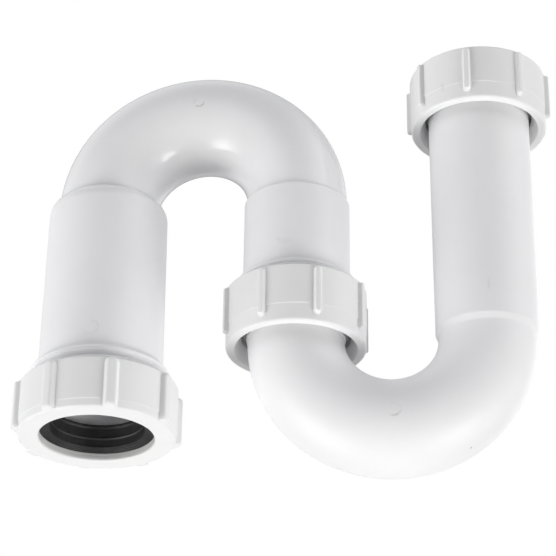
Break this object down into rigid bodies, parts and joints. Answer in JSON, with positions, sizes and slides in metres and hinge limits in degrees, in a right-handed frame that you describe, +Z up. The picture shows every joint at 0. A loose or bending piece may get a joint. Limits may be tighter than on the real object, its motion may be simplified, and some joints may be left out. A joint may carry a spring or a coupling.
{
  "type": "tubular swivel s-trap",
  "caption": "White plastic swivel S-trap for a washbasin: ribbed inlet and union nuts, water-seal bend, inverted outlet bend with a wide barrel, compression nut and stepped rubber seal.",
  "frame": {"origin": "centre of the inlet nut's open mouth, on the inlet leg's axis, where the basin waste screws in", "axes": "+Z up, out of the inlet; the union and the outlet lie along -X; the front, as pictured, faces -Y"},
  "size_m": [0.2149, 0.0676, 0.1784],
  "materials": {
    "pipe_plastic": "white polypropylene, satin moulded skin",
    "nut_plastic": "white polypropylene, satin moulded skin",
    "ring_plastic": "plain white plastic, matt",
    "seal_rubber": "black rubber, slight sheen",
    "washer_rubber": "black rubber, matt"
  },
  "bodies": {
    "trap": {"trap_bend": "pipe_plastic", "inlet_washer": "washer_rubber"},
    "inlet_nut": {"inlet_nut": "nut_plastic"},
    "union_nut": {"union_nut": "nut_plastic"},
    "union_washer": {"union_washer": "washer_rubber"},
    "outlet_bend": {"outlet_bend": "pipe_plastic"},
    "outlet_seal": {"outlet_seal": "seal_rubber", "outlet_slip_ring": "ring_plastic"},
    "outlet_nut": {"outlet_nut": "nut_plastic"}
  },
  "joints": [
    {"name": "inlet_nut_spin", "type": "hinge", "parent": "trap", "child": "inlet_nut", "pos_m": [0, 0, -0.012], "axis": [0, 0, 1], "continuous": true},
    {"name": "union_nut_turn", "type": "hinge", "parent": "union_washer", "child": "union_nut", "pos_m": [-0.075, 0, -0.111], "axis": [0, 0, 1], "range_deg": [-1728, 0]},
    {"name": "outlet_swivel", "type": "hinge", "parent": "trap", "child": "union_washer", "pos_m": [-0.075, 0, -0.111], "axis": [0, 0, 1], "range_deg": [-128, 137]},
    {"name": "outlet_bend_lift", "type": "slide", "parent": "union_washer", "child": "outlet_bend", "axis": [0, 0, 1], "range_m": [0, 0.01108]},
    {"name": "outlet_seal_slide", "type": "slide", "parent": "outlet_bend", "child": "outlet_seal", "axis": [0, 0, 1], "range_m": [-0.0145, 0]},
    {"name": "outlet_nut_turn", "type": "hinge", "parent": "outlet_seal", "child": "outlet_nut", "pos_m": [-0.1528, 0.00558, -0.148], "axis": [0, 0, 1], "range_deg": [-1728, 0]}
  ],
  "couplings": [
    {"joint": "union_nut_turn", "follows": "outlet_bend_lift", "rad_per_m": -2721.2},
    {"joint": "outlet_seal_slide", "follows": "outlet_nut_turn", "m_per_rad": 0.00047746}
  ]
}
